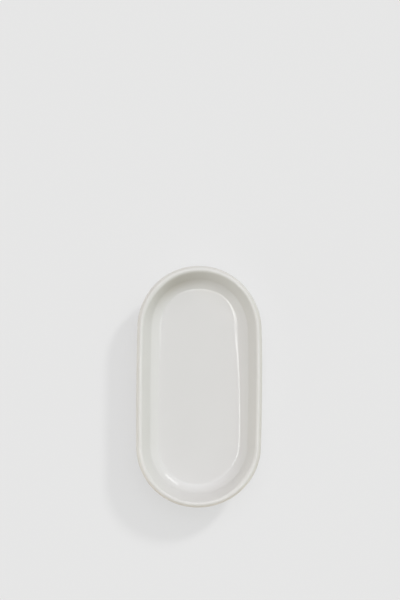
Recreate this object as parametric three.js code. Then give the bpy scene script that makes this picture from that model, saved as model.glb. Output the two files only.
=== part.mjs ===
// Oval stoneware tray: a glazed dish with rounded ends on a low foot ring, standing on four stuck-on pads.
// Millimetres, +Z up. The origin is on the table under the middle of the tray, which is longest along Y.
import * as THREE from "three";
import { toCreasedNormals } from "three/addons/utils/BufferGeometryUtils.js";

// Overall size, standing on the pads
const LENGTH = 211;
const WIDTH = 110;
const HEIGHT = 26;
const SIDE_BOW = 0.5; // half the width less the radius of the ends, which makes the long sides bow out

// Wall, lip and floor
const WALL_THICKNESS = 6; // of the wall and of the floor
const WALL_DRAFT = THREE.MathUtils.degToRad(29); // lean of the wall from upright
const LIP_INNER_RADIUS = 2.3;
const HEEL_RADIUS = 16; // between wall and base, outside

// Cove between floor and wall, inside: a tight arc off the floor, a wide one, and a tighter one into the wall
const COVE_FLOOR_RADIUS = 2.5;
const COVE_RADIUS = 29;
const COVE_WALL_RADIUS = 5;
const COVE_FLOOR_TILT = THREE.MathUtils.degToRad(22); // from level, where the first arc meets the wide one
const COVE_WALL_TILT = THREE.MathUtils.degToRad(36); // from level, where the wide arc meets the last one

// Foot ring under the base
const FOOT_HEIGHT = 1.6; // below the base panel that it surrounds
const FOOT_WIDTH = 4.5;
const FOOT_REACH = 5; // from the foot of the heel out to the outside of the foot ring
const FOOT_ROUNDING = 0.6; // of its edges and of the fillets beside it

// Pads stuck to the base panel
const PAD_DIAMETER = 10;
const PAD_EDGE_RADIUS = 0.6;
const PAD_PROUD = 1; // how far the pads stand out below the foot ring
const PAD_CLEARANCE = 1.5; // between a pad and the fillet of the foot ring
const PAD_ANGLE = THREE.MathUtils.degToRad(25); // place round the ends, from the end of the long side
const ADHESIVE_THICKNESS = 0.3;
const ADHESIVE_SETBACK = 0.4; // from the side of a pad

// Facets
const END_STEPS = 28; // round each end
const SIDE_STEPS = 4; // along each long side
const WALL_ARC_STEPS = 7; // in each large arc of the section
const EDGE_ARC_STEPS = 3; // in each small arc of the section
const COVE_ARC_STEPS = 4; // in each arc of the cove
const PAD_STEPS = 28; // round each pad
const CREASE_ANGLE = THREE.MathUtils.degToRad(40);
const SAME_POINT = 1e-6;
const ROUNDING_LIMIT = 0.45; // most of a side that the rounding of its edges may take

// Finishes
const GLAZE = { color: 0xdcdcd8, roughness: 0.15 };
const PAD_RUBBER = { color: 0xd6d6d2, roughness: 0.85 };
const ADHESIVE = { color: 0xefeee8, roughness: 0.7 };

// Levels above the table
const footLevel = PAD_PROUD;
const baseLevel = footLevel + FOOT_HEIGHT; // underside of the base panel
const floorLevel = baseLevel + WALL_THICKNESS;

// The lip has the full thickness of the wall, so its outer radius is what the inner one leaves.
const leanOut = Math.sin(WALL_DRAFT);
const lipOuterRadius = (WALL_THICKNESS - LIP_INNER_RADIUS * (1 - leanOut)) / (1 + leanOut);

// The heel runs from the base into the outside of the wall.
const heelLevel = baseLevel + HEEL_RADIUS;
const heelDrop = HEIGHT - lipOuterRadius - heelLevel; // from the centre of the lip to that of the heel
const heelReach = (HEEL_RADIUS - lipOuterRadius + heelDrop * leanOut) / Math.cos(WALL_DRAFT);
const heelInset = lipOuterRadius + heelReach;

// Arcs of the cove from the floor to the wall, with their ends as tilts from level
const coveArcs = [
  { radius: COVE_FLOOR_RADIUS, from: 0, to: COVE_FLOOR_TILT },
  { radius: COVE_RADIUS, from: COVE_FLOOR_TILT, to: COVE_WALL_TILT },
  { radius: COVE_WALL_RADIUS, from: COVE_WALL_TILT, to: Math.PI / 2 - WALL_DRAFT },
];
const total = (values) => values.reduce((sum, value) => sum + value, 0);
const coveReach = total(coveArcs.map(({ radius, from, to }) => radius * (Math.sin(to) - Math.sin(from))));
const coveRise = total(coveArcs.map(({ radius, from, to }) => radius * (Math.cos(from) - Math.cos(to))));

// The straight part of the inside runs from the lip to the cove.
const straightInset = lipOuterRadius + LIP_INNER_RADIUS * Math.cos(WALL_DRAFT);
const straightLevel = HEIGHT - LIP_INNER_RADIUS * (1 - leanOut);
const straightDrop = straightLevel - floorLevel - coveRise;
const floorInset = straightInset + straightDrop * Math.tan(WALL_DRAFT) + coveReach;

const footRounding = Math.min(FOOT_ROUNDING, ROUNDING_LIMIT * FOOT_HEIGHT, ROUNDING_LIMIT * FOOT_WIDTH);
const footOuterInset = heelInset - FOOT_REACH;
const footInnerInset = footOuterInset + FOOT_WIDTH;

// Plan outline: two long side arcs, and two end arcs that run on from them
const endRadius = WIDTH / 2 - SIDE_BOW;
const endCentre = LENGTH / 2 - endRadius;
const sideRadius = ((WIDTH / 2) ** 2 + endCentre ** 2 - endRadius ** 2) / (2 * SIDE_BOW);
const sideCentre = sideRadius - WIDTH / 2;
const sideTurn = Math.atan2(endCentre, sideCentre); // half the angle of a side arc
const outlineArcs = [0, Math.PI].flatMap((halfTurn) => [
  {
    x: -sideCentre * Math.cos(halfTurn),
    y: 0,
    radius: sideRadius,
    from: halfTurn - sideTurn,
    to: halfTurn + sideTurn,
    steps: SIDE_STEPS,
  },
  {
    x: 0,
    y: endCentre * Math.cos(halfTurn),
    radius: endRadius,
    from: halfTurn + sideTurn,
    to: halfTurn + Math.PI - sideTurn,
    steps: END_STEPS,
  },
]);

// Points along an arc, with both its ends
function arcPoints(x, y, radius, from, to, steps) {
  return Array.from({ length: steps + 1 }, (_, step) => {
    const angle = from + (to - from) * step / steps;
    return new THREE.Vector2(x + radius * Math.cos(angle), y + radius * Math.sin(angle));
  });
}

// The plan outline moved inwards, as a ring at one level. Each arc leaves its last point to the next arc.
function outlineRing(inset, level) {
  return outlineArcs.flatMap(({ x, y, radius, from, to, steps }) =>
    arcPoints(x, y, radius - inset, from, to, steps)
      .slice(0, -1)
      .map((point) => new THREE.Vector3(point.x, point.y, level)));
}

// Points of the cove from the wall to the floor. The centre moves along the line on which two arcs meet.
function covePoints(down) {
  const centre = new THREE.Vector2(floorInset, floorLevel);
  let lastRadius = 0;
  return coveArcs.map(({ radius, from, to }) => {
    const upwards = new THREE.Vector2(Math.sin(from), Math.cos(from));
    centre.addScaledVector(upwards, radius - lastRadius);
    lastRadius = radius;
    return arcPoints(centre.x, centre.y, radius, down - to, down - from, COVE_ARC_STEPS);
  }).reverse().flat();
}

// Section of the tray from the base panel round the outside to the floor. Each point has the inset from the
// outline as x and the level as y, so the angle of an arc is 0 inwards, a quarter turn up and a half turn
// outwards.
function traySection() {
  const up = Math.PI / 2;
  const outwards = Math.PI;
  const down = 1.5 * Math.PI;
  const squareToWall = outwards + WALL_DRAFT;
  const filletInset = footOuterInset - footRounding;
  const filletReach = HEEL_RADIUS + footRounding;
  const filletLevel = heelLevel - Math.sqrt(filletReach ** 2 - (heelInset - filletInset) ** 2);
  const towardsHeel = Math.atan2(heelLevel - filletLevel, heelInset - filletInset);
  const lipOuterLevel = HEIGHT - lipOuterRadius;
  const lipInnerLevel = HEIGHT - LIP_INNER_RADIUS;
  const footEdgeLevel = footLevel + footRounding;

  const footFillet = arcPoints(
    footInnerInset + footRounding, baseLevel - footRounding, footRounding, up, outwards, EDGE_ARC_STEPS);
  const footInnerEdge = arcPoints(
    footInnerInset - footRounding, footEdgeLevel, footRounding, 2 * Math.PI, down, EDGE_ARC_STEPS);
  const footOuterEdge = arcPoints(
    footOuterInset + footRounding, footEdgeLevel, footRounding, down, outwards, EDGE_ARC_STEPS);
  const heelFillet = arcPoints(
    filletInset, filletLevel, footRounding, 0, towardsHeel, EDGE_ARC_STEPS);
  const heel = arcPoints(
    heelInset, heelLevel, HEEL_RADIUS, outwards + towardsHeel, squareToWall, WALL_ARC_STEPS);
  const lipUnderside = arcPoints(
    lipOuterRadius, lipOuterLevel, lipOuterRadius, squareToWall, outwards, EDGE_ARC_STEPS);
  const lipOutside = arcPoints(
    lipOuterRadius, lipOuterLevel, lipOuterRadius, outwards, up, WALL_ARC_STEPS);
  const lipInside = arcPoints(
    lipOuterRadius, lipInnerLevel, LIP_INNER_RADIUS, up, WALL_DRAFT, EDGE_ARC_STEPS);

  const foot = [footFillet, footInnerEdge, footOuterEdge, heelFillet];
  const wall = [heel, lipUnderside, lipOutside, lipInside, covePoints(down)];
  const points = [...foot, ...wall].flat();
  return points.filter((point, i) => i === 0 || point.distanceTo(points[i - 1]) > SAME_POINT);
}

// Closed solid through the rings of a section, with a flat cap on the first ring and on the last
function ringSolid(section) {
  const rings = section.map((point) => outlineRing(point.x, point.y));
  const first = rings[0];
  const last = rings.at(-1);
  const firstMiddle = new THREE.Vector3(0, 0, first[0].z);
  const lastMiddle = new THREE.Vector3(0, 0, last[0].z);
  const corners = []; // of triangles, by threes
  for (let i = 0; i < first.length; i++) {
    const next = (i + 1) % first.length;
    corners.push(firstMiddle, first[next], first[i]);
    for (let level = 0; level + 1 < rings.length; level++) {
      const lower = rings[level];
      const upper = rings[level + 1];
      corners.push(lower[i], lower[next], upper[next]);
      corners.push(lower[i], upper[next], upper[i]);
    }
    corners.push(lastMiddle, last[i], last[next]);
  }
  return toCreasedNormals(new THREE.BufferGeometry().setFromPoints(corners), CREASE_ANGLE);
}

// Round pad standing on the table, with its lower edge rounded
function padGeometry(thickness) {
  const radius = PAD_DIAMETER / 2;
  const edge = Math.min(PAD_EDGE_RADIUS, ROUNDING_LIMIT * thickness, ROUNDING_LIMIT * radius);
  const profile = [
    new THREE.Vector2(0, 0),
    ...arcPoints(radius - edge, edge, edge, -Math.PI / 2, 0, EDGE_ARC_STEPS),
    new THREE.Vector2(radius, thickness),
    new THREE.Vector2(0, thickness),
  ];
  const geometry = new THREE.LatheGeometry(profile, PAD_STEPS).rotateX(Math.PI / 2);
  return toCreasedNormals(geometry, CREASE_ANGLE);
}

// Thin disc on top of a pad
function adhesiveGeometry(padThickness) {
  const radius = PAD_DIAMETER / 2 - ADHESIVE_SETBACK;
  return new THREE.CylinderGeometry(radius, radius, ADHESIVE_THICKNESS, PAD_STEPS)
    .rotateX(Math.PI / 2)
    .translate(0, 0, padThickness + ADHESIVE_THICKNESS / 2);
}

function namedMesh(name, geometry, finish) {
  const mesh = new THREE.Mesh(geometry, new THREE.MeshStandardMaterial(finish));
  mesh.name = name;
  return mesh;
}

const tray = new THREE.Group();
tray.name = "oval_tray";
tray.add(namedMesh("tray_body", ringSolid(traySection()), GLAZE));

const padThickness = baseLevel - ADHESIVE_THICKNESS;
const padInset = footInnerInset + footRounding + PAD_CLEARANCE + PAD_DIAMETER / 2;
const padX = (endRadius - padInset) * Math.cos(PAD_ANGLE);
const padY = endCentre + (endRadius - padInset) * Math.sin(PAD_ANGLE);
const padPlaces = [
  { place: "front_left", x: -padX, y: -padY },
  { place: "front_right", x: padX, y: -padY },
  { place: "back_left", x: -padX, y: padY },
  { place: "back_right", x: padX, y: padY },
];
for (const { place, x, y } of padPlaces) {
  const stuckPad = new THREE.Group();
  stuckPad.name = `stuck_pad_${place}`;
  stuckPad.position.set(x, y, 0);
  stuckPad.add(namedMesh(`pad_${place}`, padGeometry(padThickness), PAD_RUBBER));
  stuckPad.add(namedMesh(`pad_adhesive_${place}`, adhesiveGeometry(padThickness), ADHESIVE));
  tray.add(stuckPad);
}

export default tray;
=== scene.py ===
# Oval stoneware tray on anti-slip pads: its glazed body, pads and adhesive, with the light and the camera.
from math import atan2, cos, degrees, exp, hypot, pi, radians, sin, sqrt, tan

import bpy
from mathutils import Matrix, Vector, noise


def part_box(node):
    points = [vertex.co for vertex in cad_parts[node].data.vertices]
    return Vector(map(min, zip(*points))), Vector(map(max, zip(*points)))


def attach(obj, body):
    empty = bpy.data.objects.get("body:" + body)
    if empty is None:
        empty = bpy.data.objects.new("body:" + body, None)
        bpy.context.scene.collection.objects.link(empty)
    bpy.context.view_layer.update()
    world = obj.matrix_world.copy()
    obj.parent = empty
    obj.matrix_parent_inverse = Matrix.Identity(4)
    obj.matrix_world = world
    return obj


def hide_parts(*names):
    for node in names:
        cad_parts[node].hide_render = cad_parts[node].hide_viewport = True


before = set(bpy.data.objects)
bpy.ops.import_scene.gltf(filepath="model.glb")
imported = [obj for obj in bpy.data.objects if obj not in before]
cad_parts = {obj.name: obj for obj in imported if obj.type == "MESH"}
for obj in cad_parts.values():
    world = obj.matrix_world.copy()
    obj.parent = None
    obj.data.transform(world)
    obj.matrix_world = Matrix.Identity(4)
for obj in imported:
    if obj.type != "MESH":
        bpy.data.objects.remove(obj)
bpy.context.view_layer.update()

MM = 0.001

# Overall sizes of the tray in millimetres, from the box of its solid, to a thousandth
tray_low, tray_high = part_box("tray_body")
WIDTH = round((tray_high.x - tray_low.x) / MM, 3)
LENGTH = round((tray_high.y - tray_low.y) / MM, 3)
HEIGHT = round(tray_high.z / MM, 3)
FOOT_LEVEL = round(tray_low.z / MM, 3)

# Other sizes of the tray in millimetres, as in the part's source
SIDE_BOW = 0.5
WALL_THICKNESS = 6.0
WALL_DRAFT = 29  # degrees from upright
LIP_INNER_RADIUS = 2.3
HEEL_RADIUS = 16.0
COVE_ARCS = ((2.5, 0, 22), (29.0, 22, 36), (5.0, 36, 90 - WALL_DRAFT))  # radii, and tilts in degrees
FOOT_HEIGHT = 1.6
FOOT_WIDTH = 4.5
FOOT_REACH = 5.0
FOOT_ROUNDING = 0.6

# Unevenness of the fired body in millimetres. A place is a point of the plan. A turn is the way that the
# outline faces, in degrees from +X towards +Y.
WAVE_HEIGHT = 0.10  # of the wall
FLOOR_WAVE_HEIGHT = 0.012
WAVE_LENGTH = 48.0
FLOOR_EASE = 1.4  # height above the floor over which the wall's waves grow
OUTLINE_DENTS = ((47.0, 78.0, 1.0), (-36.0, 93.0, -0.45), (-38.0, -90.0, -0.8))  # places, and how far in
OUTLINE_DENT_SPREAD = 32.0
LIP_LEANS = ((142, 0.75), (326, 1.1), (40, -0.45))  # turns, and how far in the lip's inner edge lies
LIP_LEAN_SPREAD = 24  # degrees
LIP_LEAN_BAND = (3.2, 5.2, 7.0, 13.0)  # insets between which the lean grows and then fades
COVE_REACH = 8.6  # over which the cove evens out the changes at the floor's edge
ROLL_WIDTH = 0.55  # of the floor's turned-up edge
ROLL_TILT = radians(7)  # of the floor at its edge
ROLL_SPREAD = 26.0
EDGE_SHIFT_SPREAD = 27.0
EDGE_SHIFT_FADE = 14.0  # over the floor

# Places where the floor's turned-up edge is wider, and by how much
ROLL_PLACES = ((53.0, 58.0, 3.2), (-55.0, 48.0, 1.8), (0.0, 105.0, 1.6), (32.0, -90.0, 1.4))

# Places where the floor's edge lies further in, and how far
EDGE_SHIFTS = ((55.0, 42.0, 1.8), (55.0, -40.0, -0.8), (38.0, 90.0, -0.5), (0.0, 105.0, 0.7))

# State of the glaze, with the painted shade and painted light on it, in millimetres. A facing holds two
# cosines of the angle off a turn: where a state begins and where it is full.
GLAZE_THICKNESS = 0.12
GLAZE_LINE = 1.95  # level of the edge of the glaze on the foot ring
GLAZE_LINE_SOFTNESS = 0.12
GLAZE_LINE_WANDER = 0.22
GLAZE_LINE_WAVE = 7.0
# The lip's outside is darker where its glaze thins, partly from the thinner glaze and partly from painted
# shade
THIN_BAND = (-WALL_DRAFT, -2, 52, 88)  # degrees up the lip's outside where the thinning grows, then fades
THIN_SHADE_TURN = 320  # where the lip's outside is darkest: thinned glaze with painted shade, on the side turned from the light
THIN_SHADE_FACING = (0.1, 0.95)
THIN_SHADE_LEAST = 0.56  # share of the thinning and painted shade far from there
WARM_SHADE_TURN = 262  # where the lip's outside is browner: painted warm shade, on the side turned from the light
WARM_SHADE_FACING = (-0.2, 0.9)
WARM_SHADE_SHARPNESS = 6  # how fast the painted warm shade grows as the glaze thins
WARM_SHADE_CLEARS = 0.6  # share of the thinning and painted shade that is left out where the painted warm shade is
WALL_SHADE_PLACE = (-24.0, 99.0)  # where the wall is darkest: painted shade
WALL_SHADE_SPREAD = 32.0
WALL_SHADE_BAND = (4.5, 7.0, 12.0, 20.0)  # insets between which the painted shade grows and then fades
EDGE_LIGHT_TURN = 52  # where the floor's edge is lightest: painted light that fills the walls' shade
EDGE_LIGHT_FACING = (0.45, 0.95)
EDGE_LIGHT_LEAST = 0.2  # share of it elsewhere
EDGE_LIGHT_REACH = 8.0  # over the floor
EDGE_LIGHT_COVE_REACH = 4.0

# Pads and their adhesive, in millimetres. The dish under a pad is given by radii and levels.
PAD_DISH = ((0.0, 0.16), (0.6, 0.155), (1.4, 0.13), (2.2, 0.08), (2.9, 0.02), (3.2, 0.0))
PAD_EDGE_RADIUS = 0.6
PAD_DRAFT = 0.06  # how much less the radius is at the top
PAD_TOP_ROUNDING = 0.12
PAD_TOP_RING = 2.4  # radius of the ring of vertices on the flat top
ADHESIVE_WANDER = 0.05  # of its edge
ADHESIVE_WANDER_WAVE = 0.9

# Steps of the meshes
END_STEPS = 96
SIDE_STEPS = 40
COVE_STEPS = (6, 18, 10)  # in each arc of the cove
LIP_OUTSIDE_STEPS = 24
LIP_INSIDE_STEPS = 12
WALL_STEPS = 6
HEEL_STEPS = 20
FOOT_FILLET_STEPS = 5
FOOT_EDGE_STEPS = 6
FOOT_SIDE_STEPS = 4
FOOT_UNDER_STEPS = 6
FLAT_STEP = 0.25  # millimetres between the rings near the edge of a flat
FLAT_RINGS = 20
FLAT_SHARES = (0.1, 0.3, 0.6, 1.0)  # places of the other rings, up to the innermost one
INNERMOST_INSET = 51.0
LATHE_STEPS = 72
PAD_EDGE_STEPS = 8
PAD_SIDE_STEPS = 4
SHARP_ANGLE = radians(40)

# Colours
GLAZE_COLOUR = (0.722, 0.711, 0.688, 1)
GLAZE_LIGHT_COLOUR = (0.734, 0.723, 0.70, 1)
GLAZE_POOL_COLOUR = (0.722, 0.718, 0.708, 1)
# Painted light: lighter glaze at the floor's edge and in the cove, where the walls shade them
PAINTED_EDGE_LIGHT_COLOUR = (0.795, 0.787, 0.765, 1)
# Painted shade: darker glaze on the wall at the +Y end, left of the middle
PAINTED_WALL_SHADE_COLOUR = (0.59, 0.57, 0.526, 1)
# Partly thinner glaze and partly painted shade on the lip's outside
THIN_GLAZE_AND_SHADE_COLOUR = (0.60, 0.582, 0.54, 1)
# Painted warm shade on the lip's outside at the −Y end
PAINTED_WARM_SHADE_COLOUR = (0.684, 0.638, 0.58, 1)
CLAY_COLOUR = (0.60, 0.545, 0.465, 1)
CLAY_GRAIN_COLOUR = (0.47, 0.41, 0.335, 1)
RUBBER_COLOUR = (0.64, 0.64, 0.61, 1)
RUBBER_DUST_COLOUR = (0.70, 0.695, 0.66, 1)
ADHESIVE_COLOUR = (0.86, 0.85, 0.80, 1)
ADHESIVE_CELL_COLOUR = (0.80, 0.785, 0.72, 1)
GROUND_COLOUR = (0.738, 0.738, 0.738, 1)

# Finishes: scales of textures per metre, heights of bumps in metres, and roughness from and to
CLOUD_SCALE = 32.0
BREAK_SCALE = 140.0
BREAK_LEAST = 0.8  # share of the thinning where the glaze breaks least
POOL_SHARE = 0.8
GLOSS_SCALE = 55.0
GLAZE_ROUGHNESS = (0.07, 0.11)
GLAZE_IOR = 1.5
RIPPLE_SCALE = 300.0
RIPPLE_HEIGHT = 0.000012
CLAY_GRAIN_SCALE = 2600.0
CLAY_GRAIN_HEIGHT = 0.00008
CLAY_ROUGHNESS = 0.85
RUBBER_DUST_SCALE = 700.0
RUBBER_GRAIN_SCALE = 4200.0
RUBBER_GRAIN_HEIGHT = 0.00003
RUBBER_ROUGHNESS = (0.55, 0.8)
FOAM_CELL_SCALE = 2400.0
FOAM_CELL_HEIGHT = 0.00004
FOAM_ROUGHNESS = (0.5, 0.7)

# Floor
FLOOR_HALF = 6.0  # metres
FLOOR_GLOW = 0.80  # share of the floor's look that takes no shadow
FLOOR_GLOW_STRENGTH = 0.98

# Light. Azimuth goes from +X towards +Y, and azimuth and elevation are in degrees.
NEUTRAL_LIGHT = (1.0, 1.0, 1.0)
WARM_LIGHT = (1.0, 0.82, 0.55)

# Glows of the sky: azimuth, elevation, sharpness, strength and colour
SKY_LAYERS = (
    (0, 90, 0, 0.17, (1.0, 0.82, 0.6)),
    (78, 60, 8, 2.27, (0.925, 0.955, 1.065)),
    (131, 60, 16, 0.38, NEUTRAL_LIGHT),
    (112, 27, 8, 0.36, NEUTRAL_LIGHT),
    (350, 25, 3.8, 1.05, (0.94, 1.05, 1.0)),
    (207, 3, 7.4, 2.28, (0.96, 1.02, 0.98)),
)

# Small lamps overhead that show as a thin line in the floor's edge: azimuth, elevation and radiance
STRIPS = (
    (165, 82, 2.1),
    (200, 82, 7.5),
    (235, 82, 3.5),
    (270, 80, 6.3),
    (305, 80, 4.0),
    (4, 78, 4.5),
    (120, 82, 4.3),
)
STRIP_SIZE = (0.20, 0.19)  # metres
LAMP_DISTANCE = 2.2  # metres

# Larger lamps: azimuth, elevation, width, height, radiance and colour
CREST_LAMP = (205, 74, 0.36, 0.27, 3.0, WARM_LIGHT)
KEY_LAMP = (50, 37, 0.7, 0.22, 4.4, NEUTRAL_LIGHT)

# Lamp that lights the floor alone: azimuth, elevation, width in degrees, and its light as a share of white
FLOOR_LAMP = (50, 29.5, 8, 0.50)

# Photograph, in pixels, and the camera that took it
IMAGE_SIZE = (400, 600)
TRAY_MIDDLE = (199.3, 386.75)
TRAY_LEAN = radians(0.5)
RIM_MM_PER_PIXEL = 0.873
CAMERA_HEIGHT = 3.0  # metres
SENSOR = 36.0  # millimetres


# Shape of the tray
def arc(x, y, radius, start, stop, steps):
    """Points along an arc, with both its ends."""
    angles = [start + (stop - start) * step / steps for step in range(steps + 1)]
    return [(x + radius * cos(angle), y + radius * sin(angle)) for angle in angles]


def line(start, stop, steps):
    """Points between two others, without these."""
    shares = [step / steps for step in range(1, steps)]
    return [tuple(a + (b - a) * share for a, b in zip(start, stop)) for share in shares]


def smooth(value, low, high):
    """A smooth step from 0 at low to 1 at high."""
    share = min(1.0, max(0.0, (value - low) / (high - low)))
    return share * share * (3 - 2 * share)


def band(value, edges):
    """A smooth rise to 1 between the first two edges and a smooth fall to 0 between the last two."""
    return smooth(value, edges[0], edges[1]) * (1 - smooth(value, edges[2], edges[3]))


def bump(distance, spread):
    """A round bump that is 1 at no distance."""
    return exp(-((distance / spread) ** 2))


def span(point, place):
    """Distance from a point to a place in plan."""
    return hypot(point.x - place[0], point.y - place[1])


def bumps(point, places, spread):
    """Sum of round bumps at places of the plan, each with its height, as felt at a point."""
    return sum(height * bump(span(point, (x, y)), spread) for x, y, height in places)


def off_turn(inward, turn):
    """Degrees between the way that the outline faces and a turn."""
    return abs((degrees(atan2(-inward.y, -inward.x)) - turn + 180) % 360 - 180)


def facing(inward, turn, cosines):
    """From 0 to 1 as the outline comes to face a turn."""
    return smooth(cos(radians(off_turn(inward, turn))), *cosines)


def outline_points():
    """Points round the plan outline, each with the direction that leads inwards."""
    end_radius = WIDTH / 2 - SIDE_BOW
    end_centre = LENGTH / 2 - end_radius
    side_radius = ((WIDTH / 2) ** 2 + end_centre**2 - end_radius**2) / (2 * SIDE_BOW)
    side_centre = side_radius - WIDTH / 2
    turn = atan2(end_centre, side_centre)
    points = []
    for half_turn, sign in ((0.0, 1), (pi, -1)):
        side = (-side_centre * sign, 0.0, side_radius, half_turn - turn, half_turn + turn, SIDE_STEPS)
        end = (0.0, end_centre * sign, end_radius, half_turn + turn, half_turn + pi - turn, END_STEPS)
        for x, y, radius, start, stop, steps in (side, end):
            for step in range(steps):
                angle = start + (stop - start) * step / steps
                point = Vector((x + radius * cos(angle), y + radius * sin(angle), 0))
                inward = Vector((-cos(angle), -sin(angle), 0))
                dent = bumps(point, OUTLINE_DENTS, OUTLINE_DENT_SPREAD)
                points.append((point + inward * dent, inward))
    return points


def flat_insets(edge):
    """Insets of the rings across a flat, from its edge to the innermost one."""
    near = [edge + FLAT_STEP * step for step in range(FLAT_RINGS)]
    start = near[-1]
    return near + [start + (INNERMOST_INSET - start) * share for share in FLAT_SHARES]


def cove_points(floor_inset, floor_level):
    """Points of the cove from the floor to the wall, each with its tilt from level."""
    x, y, last_radius = floor_inset, floor_level, 0.0
    points = []
    for (radius, start, stop), steps in zip(COVE_ARCS, COVE_STEPS):
        low, high = radians(start), radians(stop)
        x += (radius - last_radius) * sin(low)
        y += (radius - last_radius) * cos(low)
        last_radius = radius
        for step in range(steps):
            tilt = low + (high - low) * step / steps
            points.append((x - radius * sin(tilt), y - radius * cos(tilt), tilt))
    points.append((x - last_radius * sin(high), y - last_radius * cos(high), high))
    return points


def tray_section():
    """Section from the middle of the base panel round the outside to the middle of the floor.

    Each point has its inset from the outline, its level, how thin the glaze is there and how much it has
    pooled. The inset of the floor's edge comes with the points.
    """
    draft = radians(WALL_DRAFT)
    lean = sin(draft)
    base = FOOT_LEVEL + FOOT_HEIGHT
    floor = base + WALL_THICKNESS
    lip_outer = (WALL_THICKNESS - LIP_INNER_RADIUS * (1 - lean)) / (1 + lean)
    heel_level = base + HEEL_RADIUS
    heel_drop = HEIGHT - lip_outer - heel_level
    heel_inset = lip_outer + (HEEL_RADIUS - lip_outer + heel_drop * lean) / cos(draft)
    straight_inset = lip_outer + LIP_INNER_RADIUS * cos(draft)
    straight_level = HEIGHT - LIP_INNER_RADIUS * (1 - lean)
    top_inset, top_level, _ = cove_points(0.0, floor)[-1]
    floor_inset = straight_inset + (straight_level - top_level) * tan(draft) - top_inset

    rounding = FOOT_ROUNDING
    foot_outer = heel_inset - FOOT_REACH
    foot_inner = foot_outer + FOOT_WIDTH
    fillet_inset = foot_outer - rounding
    fillet_level = heel_level - sqrt((HEEL_RADIUS + rounding) ** 2 - (heel_inset - fillet_inset) ** 2)
    towards_heel = atan2(heel_level - fillet_level, heel_inset - fillet_inset)
    square_to_wall = pi + draft
    foot_edge_level = FOOT_LEVEL + rounding

    panel = [(inset, base) for inset in reversed(flat_insets(foot_inner + rounding))][:-1]
    foot_fillet = arc(foot_inner + rounding, base - rounding, rounding, pi / 2, pi, FOOT_FILLET_STEPS)
    foot_inner_edge = arc(foot_inner - rounding, foot_edge_level, rounding, 2 * pi, 1.5 * pi, FOOT_EDGE_STEPS)
    foot_outer_edge = arc(foot_outer + rounding, foot_edge_level, rounding, 1.5 * pi, pi, FOOT_EDGE_STEPS)
    heel_fillet = arc(fillet_inset, fillet_level, rounding, 0, towards_heel, FOOT_FILLET_STEPS)
    heel = arc(heel_inset, heel_level, HEEL_RADIUS, pi + towards_heel, square_to_wall, HEEL_STEPS)
    lip_outside = arc(lip_outer, HEIGHT - lip_outer, lip_outer, square_to_wall, pi / 2, LIP_OUTSIDE_STEPS)
    lip_inside = arc(lip_outer, HEIGHT - LIP_INNER_RADIUS, LIP_INNER_RADIUS, pi / 2, draft, LIP_INSIDE_STEPS)
    cove = list(reversed(cove_points(floor_inset, floor)))

    under = panel + foot_fillet + line(foot_fillet[-1], foot_inner_edge[0], FOOT_SIDE_STEPS)
    under += foot_inner_edge + line(foot_inner_edge[-1], foot_outer_edge[0], FOOT_UNDER_STEPS)
    under += foot_outer_edge + line(foot_outer_edge[-1], heel_fillet[0], FOOT_SIDE_STEPS)
    under += heel_fillet + heel[1:] + line(heel[-1], lip_outside[0], WALL_STEPS)
    points = [(inset, level, 0.0, 0.0) for inset, level in under]
    for step, (inset, level) in enumerate(lip_outside):
        angle = square_to_wall + (pi / 2 - square_to_wall) * step / LIP_OUTSIDE_STEPS
        points.append((inset, level, band(degrees(pi - angle), THIN_BAND), 0.0))
    inside = lip_inside[1:] + line(lip_inside[-1], cove[0][:2], WALL_STEPS)
    points += [(inset, level, 0.0, 0.0) for inset, level in inside]
    points += [(inset, level, 0.0, 1 - tilt / cove[0][2]) for inset, level, tilt in cove]
    points += [(inset, floor, 0.0, 1.0) for inset in flat_insets(floor_inset)[1:]]
    return points, floor_inset


def floor_roll(point, inset, floor_inset):
    """How far the floor is turned up at an inset from a point of the outline. The cove takes it up."""
    width = ROLL_WIDTH + bumps(point, ROLL_PLACES, ROLL_SPREAD)
    height = width * tan(ROLL_TILT) / 2
    if inset < floor_inset:
        return height * smooth(inset, floor_inset - COVE_REACH, floor_inset)
    return height * max(0.0, 1 - (inset - floor_inset) / width) ** 2


def edge_shift(point, inset, floor_inset):
    """How far in the floor's edge lies. The shift fades over the cove and over the floor."""
    fade = (floor_inset - COVE_REACH, floor_inset, floor_inset, floor_inset + EDGE_SHIFT_FADE)
    return bumps(point, EDGE_SHIFTS, EDGE_SHIFT_SPREAD) * band(inset, fade)


def lip_lean(inward):
    """How far in the lip's inner edge lies."""
    return sum(depth * bump(off_turn(inward, turn), LIP_LEAN_SPREAD) for turn, depth in LIP_LEANS)


def lip_thinning_and_shade(inward):
    """How thin the glaze of the lip is at a point of the outline, with painted shade on the side turned from
    the light, and how much painted warm shade it takes.
    """
    warm_shade = facing(inward, WARM_SHADE_TURN, WARM_SHADE_FACING)
    thin_and_shade = THIN_SHADE_LEAST + (1 - THIN_SHADE_LEAST) * facing(inward, THIN_SHADE_TURN, THIN_SHADE_FACING)
    return thin_and_shade * (1 - WARM_SHADE_CLEARS * warm_shade), warm_shade


def painted_edge_light(inward):
    """How much painted light lightens the floor's edge and the cove at a point of the outline."""
    return EDGE_LIGHT_LEAST + (1 - EDGE_LIGHT_LEAST) * facing(inward, EDGE_LIGHT_TURN, EDGE_LIGHT_FACING)


def ring_faces(rings, count):
    """Quads between rings of vertices, with a face over the first and the last ring."""
    faces = []
    for ring in range(rings - 1):
        low, high = ring * count, (ring + 1) * count
        for i in range(count):
            j = (i + 1) % count
            faces.append((low + i, low + j, high + j, high + i))
    faces.append(tuple(reversed(range(count))))
    faces.append(tuple(range((rings - 1) * count, rings * count)))
    return faces


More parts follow.
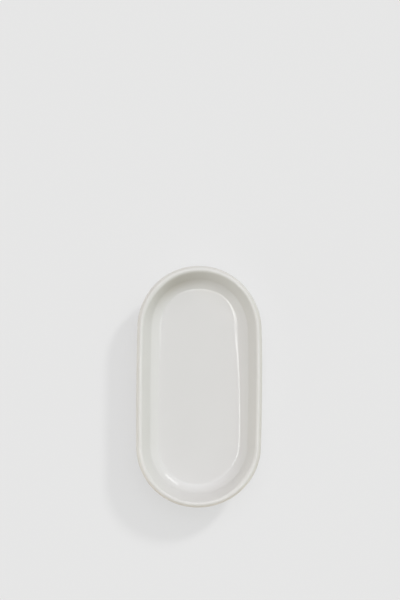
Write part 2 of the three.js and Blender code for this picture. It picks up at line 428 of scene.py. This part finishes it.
def fire(mesh, waves):
    """Gives a mesh its waves and its bare foot, turns it to metres, and returns how bare each vertex is."""
    normals = [Vector(normal.vector) for normal in mesh.vertex_normals]
    bare = []
    for vertex, normal, height in zip(mesh.vertices, normals, waves):
        place = Vector(vertex.co)
        edge = GLAZE_LINE + GLAZE_LINE_WANDER * noise.noise(place / GLAZE_LINE_WAVE)
        bareness = 1 - smooth(place.z, edge - GLAZE_LINE_SOFTNESS, edge + GLAZE_LINE_SOFTNESS)
        lift = -GLAZE_THICKNESS * bareness
        if place.z >= FOOT_LEVEL + FOOT_HEIGHT:
            lift += height * noise.noise(place / WAVE_LENGTH)
        vertex.co = (place + normal * lift) * MM
        bare.append(bareness)
    return bare


def tray_mesh():
    """The tray's body as rings round the outline, slightly uneven, with the state of its glaze and its
    painted shade and light everywhere.
    """
    outline = outline_points()
    section, floor_inset = tray_section()
    floor_level = section[-1][1]
    crest = max(range(len(section)), key=lambda step: section[step][1])
    by_turn = [(lip_lean(inward), *lip_thinning_and_shade(inward), painted_edge_light(inward)) for _, inward in outline]
    states = {name: [] for name in ("thin_and_shade", "warm_shade", "pool", "wall_shade", "edge_light")}
    vertices, waves = [], []
    for step, (inset, level, thinness, pooling) in enumerate(section):
        inside = 1.0 if step > crest else 0.0
        waviness = smooth(level, floor_level, floor_level + FLOOR_EASE) if pooling else 1.0
        # Painted light at the floor's edge, fading over the floor and up the cove
        edge_light_reach = EDGE_LIGHT_REACH if inset > floor_inset else EDGE_LIGHT_COVE_REACH
        edge_light_falloff = inside * exp(-abs(inset - floor_inset) / edge_light_reach)
        for (point, inward), (lean, thin_and_shade, warm_shade, edge_light) in zip(outline, by_turn):
            shift = lean * band(inset, LIP_LEAN_BAND) + edge_shift(point, inset, floor_inset)
            place = point + inward * (inset + inside * shift)
            roll = floor_roll(point, inset, floor_inset) if pooling else 0.0
            # Painted shade on the wall at the +Y end, left of the middle
            wall_shade = band(inset, WALL_SHADE_BAND) * bump(span(point, WALL_SHADE_PLACE), WALL_SHADE_SPREAD)
            vertices.append(Vector((place.x, place.y, level + roll)))
            waves.append(FLOOR_WAVE_HEIGHT + (WAVE_HEIGHT - FLOOR_WAVE_HEIGHT) * waviness)
            # Thinner glaze and painted shade on the lip's outside
            states["thin_and_shade"].append(thinness * thin_and_shade)
            # Painted warm shade on the lip's outside
            states["warm_shade"].append(thinness**WARM_SHADE_SHARPNESS * warm_shade)
            states["pool"].append(pooling)
            states["wall_shade"].append(inside * wall_shade)
            states["edge_light"].append(edge_light_falloff * edge_light)

    mesh = bpy.data.meshes.new("tray_body_glazed")
    mesh.from_pydata(vertices, [], ring_faces(len(section), len(outline)))
    mesh.update()
    states["bare"] = fire(mesh, waves)
    for name, values in states.items():
        mesh.attributes.new(name, "FLOAT", "POINT").data.foreach_set("value", values)
    mesh.shade_smooth()
    mesh.update()
    return mesh


# Shape of the pads and their adhesive
def pad_profile(radius, thickness):
    """Pad that is slightly dished below and drafted at its side."""
    edge, rounding = PAD_EDGE_RADIUS, PAD_TOP_ROUNDING
    top_radius = radius - PAD_DRAFT
    lower_edge = arc(radius - edge, edge, edge, -pi / 2, 0, PAD_EDGE_STEPS)
    side = line(lower_edge[-1], (top_radius, thickness - rounding), PAD_SIDE_STEPS)
    upper_edge = arc(top_radius - rounding, thickness - rounding, rounding, 0, pi / 2, PAD_SIDE_STEPS)
    return [*PAD_DISH, *lower_edge, *side, *upper_edge, (PAD_TOP_RING, thickness), (0.0, thickness)]


def adhesive_profile(radius, thickness):
    """Thin disc whose side bulges a little."""
    bulge = arc(radius - thickness / 2, thickness / 2, thickness / 2, -pi / 2, pi / 2, PAD_EDGE_STEPS)
    return [(0.0, 0.0), (radius / 2, 0.0), *bulge, (radius / 2, thickness), (0.0, thickness)]


def lathe_mesh(name, profile, wander=0.0, wander_wave=1.0):
    """A closed round mesh from a profile of (radius, level) that starts and ends on the axis."""
    steps = LATHE_STEPS
    bottom, top = profile[0][1], profile[-1][1]
    rings = profile[1:-1]
    vertices = [Vector((0, 0, bottom * MM))]
    for radius, level in rings:
        for step in range(steps):
            angle = 2 * pi * step / steps
            spot = Vector((cos(angle), sin(angle), level))
            reach = radius + wander * noise.noise(spot * radius / wander_wave)
            vertices.append(Vector((reach * cos(angle), reach * sin(angle), level)) * MM)
    vertices.append(Vector((0, 0, top * MM)))
    last = len(vertices) - 1
    faces = []
    for step in range(steps):
        after = (step + 1) % steps
        faces.append((0, 1 + after, 1 + step))
        for ring in range(len(rings) - 1):
            low, high = 1 + ring * steps, 1 + (ring + 1) * steps
            faces.append((low + step, low + after, high + after, high + step))
        high = 1 + (len(rings) - 1) * steps
        faces.append((high + step, high + after, last))
    mesh = bpy.data.meshes.new(name)
    mesh.from_pydata(vertices, [], faces)
    mesh.shade_smooth()
    mesh.set_sharp_from_angle(angle=SHARP_ANGLE)
    mesh.update()
    return mesh


# Materials
def feed(tree, socket, value):
    """Links an output to a socket, or sets the socket to a plain value."""
    if isinstance(value, bpy.types.NodeSocket):
        tree.links.new(value, socket)
    else:
        socket.default_value = value


def add_node(tree, kind, sockets, **settings):
    """A node with its settings made and its sockets fed."""
    node = tree.nodes.new(kind)
    for name, value in settings.items():
        setattr(node, name, value)
    for name, value in sockets.items():
        feed(tree, node.inputs[name], value)
    return node


def new_material(name):
    """A material with the Principled shader that it starts with."""
    material = bpy.data.materials.new(name)
    material.use_nodes = True
    return material, material.node_tree, material.node_tree.nodes["Principled BSDF"]


def object_place(tree):
    """The place on the piece, in metres."""
    return add_node(tree, "ShaderNodeTexCoord", {}).outputs["Object"]


def noise_value(tree, place, scale, detail=2.0, rough=0.5):
    """Noise from 0 to 1."""
    sockets = {"Vector": place, "Scale": scale, "Detail": detail, "Roughness": rough}
    return add_node(tree, "ShaderNodeTexNoise", sockets).outputs[0]


def attribute_value(tree, name):
    """A value that the mesh holds at each of its points."""
    return add_node(tree, "ShaderNodeAttribute", {}, attribute_name=name).outputs["Fac"]


def mapped(tree, value, low, high, to_low=0.0, to_high=1.0):
    """A value moved from one range to another, smoothly and within its ends."""
    sockets = {"Value": value, "From Min": low, "From Max": high, "To Min": to_low, "To Max": to_high}
    node = add_node(tree, "ShaderNodeMapRange", sockets, interpolation_type="SMOOTHSTEP")
    return node.outputs["Result"]


def math_value(tree, operation, first, second):
    """Two values put together by a math operation."""
    return add_node(tree, "ShaderNodeMath", {0: first, 1: second}, operation=operation).outputs[0]


def mixed_colour(tree, share, first, second):
    """The first colour with a share of the second."""
    return add_node(tree, "ShaderNodeMix", {0: share, 6: first, 7: second}, data_type="RGBA").outputs[2]


def mixed_value(tree, share, first, second):
    """The first value with a share of the second."""
    return add_node(tree, "ShaderNodeMix", {0: share, 2: first, 3: second}, data_type="FLOAT").outputs[0]


def bumped(tree, height, distance, normal=None):
    """The surface's direction with a bump on it."""
    sockets = {"Height": height, "Distance": distance, "Strength": 1.0}
    if normal is not None:
        sockets["Normal"] = normal
    return add_node(tree, "ShaderNodeBump", sockets).outputs["Normal"]


def glaze_material():
    """Pale gloss glaze that thins on the lip and pools in the cove, with painted shade and painted light on
    it, and bare clay on the foot ring.
    """
    material, tree, shader = new_material("glazed_stoneware")
    place = object_place(tree)
    names = ("bare", "thin_and_shade", "warm_shade", "pool", "wall_shade", "edge_light")
    bare, thin_and_shade, warm_shade, pool, wall_shade, edge_light = (attribute_value(tree, name) for name in names)

    clouds = mapped(tree, noise_value(tree, place, CLOUD_SCALE, detail=3.0), 0.3, 0.7)
    break_noise = noise_value(tree, place, BREAK_SCALE, detail=3.0, rough=0.6)
    breaks = mapped(tree, break_noise, 0.25, 0.75, BREAK_LEAST, 1.0)
    grain = noise_value(tree, place, CLAY_GRAIN_SCALE, detail=3.0, rough=0.65)
    clay = mixed_colour(tree, mapped(tree, grain, 0.56, 0.68), CLAY_COLOUR, CLAY_GRAIN_COLOUR)
    tones = (
        (math_value(tree, "MULTIPLY", pool, POOL_SHARE), GLAZE_POOL_COLOUR),
        # Painted shade on the wall
        (wall_shade, PAINTED_WALL_SHADE_COLOUR),
        # Painted light at the floor's edge
        (edge_light, PAINTED_EDGE_LIGHT_COLOUR),
        # Thinner glaze and painted shade on the lip's outside
        (math_value(tree, "MULTIPLY", thin_and_shade, breaks), THIN_GLAZE_AND_SHADE_COLOUR),
        # Painted warm shade on the lip's outside
        (math_value(tree, "MULTIPLY", warm_shade, breaks), PAINTED_WARM_SHADE_COLOUR),
        (bare, clay),
    )
    colour = mixed_colour(tree, clouds, GLAZE_COLOUR, GLAZE_LIGHT_COLOUR)
    for share, tone in tones:
        colour = mixed_colour(tree, share, colour, tone)
    feed(tree, shader.inputs["Base Color"], colour)

    glossy = mapped(tree, noise_value(tree, place, GLOSS_SCALE, detail=4.0), 0.25, 0.75, *GLAZE_ROUGHNESS)
    feed(tree, shader.inputs["Roughness"], mixed_value(tree, bare, glossy, CLAY_ROUGHNESS))

    ripple = bumped(tree, noise_value(tree, place, RIPPLE_SCALE), RIPPLE_HEIGHT)
    bare_grain = math_value(tree, "MULTIPLY", grain, bare)
    feed(tree, shader.inputs["Normal"], bumped(tree, bare_grain, CLAY_GRAIN_HEIGHT, ripple))
    shader.inputs["IOR"].default_value = GLAZE_IOR
    return material


def rubber_material():
    """Soft matte rubber with a fine moulded grain and a little dust."""
    material, tree, shader = new_material("pad_rubber_grained")
    place = object_place(tree)
    dust = mapped(tree, noise_value(tree, place, RUBBER_DUST_SCALE, detail=5.0, rough=0.7), 0.45, 0.7)
    feed(tree, shader.inputs["Base Color"], mixed_colour(tree, dust, RUBBER_COLOUR, RUBBER_DUST_COLOUR))
    feed(tree, shader.inputs["Roughness"], mapped(tree, dust, 0.0, 1.0, *RUBBER_ROUGHNESS))
    grain = noise_value(tree, place, RUBBER_GRAIN_SCALE)
    feed(tree, shader.inputs["Normal"], bumped(tree, grain, RUBBER_GRAIN_HEIGHT))
    return material


def adhesive_material():
    """Milky foam adhesive with small closed cells."""
    material, tree, shader = new_material("adhesive_foam")
    sockets = {"Vector": object_place(tree), "Scale": FOAM_CELL_SCALE}
    cells = mapped(tree, add_node(tree, "ShaderNodeTexVoronoi", sockets).outputs["Distance"], 0.15, 0.6)
    colour = mixed_colour(tree, cells, ADHESIVE_CELL_COLOUR, ADHESIVE_COLOUR)
    feed(tree, shader.inputs["Base Color"], colour)
    feed(tree, shader.inputs["Roughness"], mapped(tree, cells, 0.0, 1.0, *FOAM_ROUGHNESS))
    feed(tree, shader.inputs["Normal"], bumped(tree, cells, FOAM_CELL_HEIGHT))
    return material


# Pieces
def link_piece(name, mesh, material, slot, *nodes):
    """Makes a piece of a mesh, which takes the place of CAD nodes."""
    piece = bpy.data.objects.new(name, mesh)
    bpy.context.scene.collection.objects.link(piece)
    mesh.materials.append(material)
    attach(piece, "root")
    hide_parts(*nodes)
    return piece


def node_round(node):
    """Middle of a round node's underside in metres, and its radius and thickness in millimetres."""
    low, high = (Vector(corner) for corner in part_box(node))
    middle = Vector(((low.x + high.x) / 2, (low.y + high.y) / 2, low.z))
    return middle, (high.y - low.y) / 2 / MM, (high.z - low.z) / MM


link_piece("tray_body_glazed", tray_mesh(), glaze_material(), "glaze", "tray_body")

rubber = rubber_material()
adhesive = adhesive_material()
for place_name in ("front_left", "front_right", "back_left", "back_right"):
    pad_node, adhesive_node = f"pad_{place_name}", f"pad_adhesive_{place_name}"
    middle, radius, thickness = node_round(pad_node)
    pad = lathe_mesh(f"{pad_node}_moulded", pad_profile(radius, thickness))
    link_piece(f"{pad_node}_moulded", pad, rubber, "pad_rubber", pad_node).location = middle
    middle, radius, thickness = node_round(adhesive_node)
    foam = adhesive_profile(radius, thickness)
    disc = lathe_mesh(f"{adhesive_node}_foam", foam, ADHESIVE_WANDER, ADHESIVE_WANDER_WAVE)
    link_piece(f"{adhesive_node}_foam", disc, adhesive, "adhesive", adhesive_node).location = middle


# Floor
def floor_material():
    """Plain pale floor. Part of what the camera sees is its plain colour, so that shadows stay light."""
    material, tree, shader = new_material("floor_pale")
    tree.nodes.remove(shader)
    diffuse = add_node(tree, "ShaderNodeBsdfDiffuse", {"Color": GROUND_COLOUR}).outputs[0]
    sockets = {"Color": GROUND_COLOUR, "Strength": FLOOR_GLOW_STRENGTH}
    glow = add_node(tree, "ShaderNodeEmission", sockets).outputs[0]
    rays = add_node(tree, "ShaderNodeLightPath", {}).outputs
    seen = math_value(tree, "ADD", rays["Is Camera Ray"], rays["Is Glossy Ray"])
    seen = math_value(tree, "ADD", seen, rays["Is Transmission Ray"])
    share = math_value(tree, "MULTIPLY", math_value(tree, "MINIMUM", seen, 1.0), FLOOR_GLOW)
    shown = add_node(tree, "ShaderNodeMixShader", {0: share, 1: diffuse, 2: glow}).outputs[0]
    feed(tree, tree.nodes["Material Output"].inputs["Surface"], shown)
    return material


floor_mesh = bpy.data.meshes.new("floor")
corners = [(x * FLOOR_HALF, y * FLOOR_HALF, 0) for x, y in ((-1, -1), (1, -1), (1, 1), (-1, 1))]
floor_mesh.from_pydata(corners, [], [(0, 1, 2, 3)])
floor_mesh.materials.append(floor_material())
floor = bpy.data.objects.new("floor", floor_mesh)
bpy.context.scene.collection.objects.link(floor)


# Light
def direction(azimuth, elevation):
    """Direction towards a place in the sky."""
    a, e = radians(azimuth), radians(elevation)
    return Vector((cos(e) * cos(a), cos(e) * sin(a), sin(e)))


def sky(layers):
    """World of plain and one-sided glows, added up. A sharpness of 0 is a plain one."""
    world = bpy.data.worlds.new("studio")
    world.use_nodes = True
    tree = world.node_tree
    tree.nodes.clear()
    place = add_node(tree, "ShaderNodeTexCoord", {}).outputs["Generated"]
    total = None
    for azimuth, elevation, sharpness, strength, colour in layers:
        level = strength
        if sharpness:
            sockets = {0: place, 1: direction(azimuth, elevation)}
            towards = add_node(tree, "ShaderNodeVectorMath", sockets, operation="DOT_PRODUCT")
            near = math_value(tree, "MAXIMUM", towards.outputs["Value"], 0.0)
            level = math_value(tree, "MULTIPLY", math_value(tree, "POWER", near, sharpness), strength)
        sockets = {"Color": (*colour, 1), "Strength": level}
        glow = add_node(tree, "ShaderNodeBackground", sockets).outputs[0]
        if total is None:
            total = glow
        else:
            total = add_node(tree, "ShaderNodeAddShader", {0: total, 1: glow}).outputs[0]
    output = add_node(tree, "ShaderNodeOutputWorld", {})
    feed(tree, output.inputs["Surface"], total)
    bpy.context.scene.world = world


def link_lamp(name, data, azimuth, elevation):
    """A lamp in the sky that faces the tray."""
    towards = direction(azimuth, elevation)
    lamp = bpy.data.objects.new(name, data)
    lamp.location = towards * LAMP_DISTANCE
    lamp.rotation_euler = towards.to_track_quat("Z", "Y").to_euler()
    bpy.context.scene.collection.objects.link(lamp)
    return lamp


def softbox(name, azimuth, elevation, width, height, radiance, colour):
    """Area lamp that faces the tray, with its brightness as radiance."""
    data = bpy.data.lights.new(name, "AREA")
    data.shape = "RECTANGLE"
    data.size, data.size_y = width, height
    data.energy = radiance * pi * width * height
    data.color = colour
    return link_lamp(name, data, azimuth, elevation)


def sun(name, azimuth, elevation, width_degrees, level):
    """Distant round lamp, with its light on the level ground as a share of white."""
    data = bpy.data.lights.new(name, "SUN")
    data.angle = radians(width_degrees)
    data.energy = level * pi / sin(radians(elevation))
    return link_lamp(name, data, azimuth, elevation)


sky(SKY_LAYERS)
for azimuth, elevation, radiance in STRIPS:
    softbox("overhead_strip", azimuth, elevation, *STRIP_SIZE, radiance, NEUTRAL_LIGHT)
softbox("crest", *CREST_LAMP)
softbox("key", *KEY_LAMP)
floor_only = bpy.data.collections.new("floor_only")
floor_only.objects.link(floor)
sun("floor_key", *FLOOR_LAMP).light_linking.receiver_collection = floor_only


# Camera
def photo_camera():
    """Camera straight above the middle of the photograph, turned by the tray's lean in it."""
    scale = RIM_MM_PER_PIXEL * MM
    data = bpy.data.cameras.new("photo_camera")
    data.sensor_width = SENSOR
    data.lens = SENSOR * (CAMERA_HEIGHT - HEIGHT * MM) / (IMAGE_SIZE[1] * scale)
    camera = bpy.data.objects.new("photo_camera", data)
    off = Vector((IMAGE_SIZE[0] / 2 - TRAY_MIDDLE[0], TRAY_MIDDLE[1] - IMAGE_SIZE[1] / 2, 0)) * scale
    camera.location = Matrix.Rotation(TRAY_LEAN, 3, "Z") @ off + Vector((0, 0, CAMERA_HEIGHT))
    camera.rotation_euler = (0, 0, TRAY_LEAN)
    bpy.context.scene.collection.objects.link(camera)
    bpy.context.scene.camera = camera


photo_camera()
bpy.context.scene.view_settings.view_transform = "Standard"
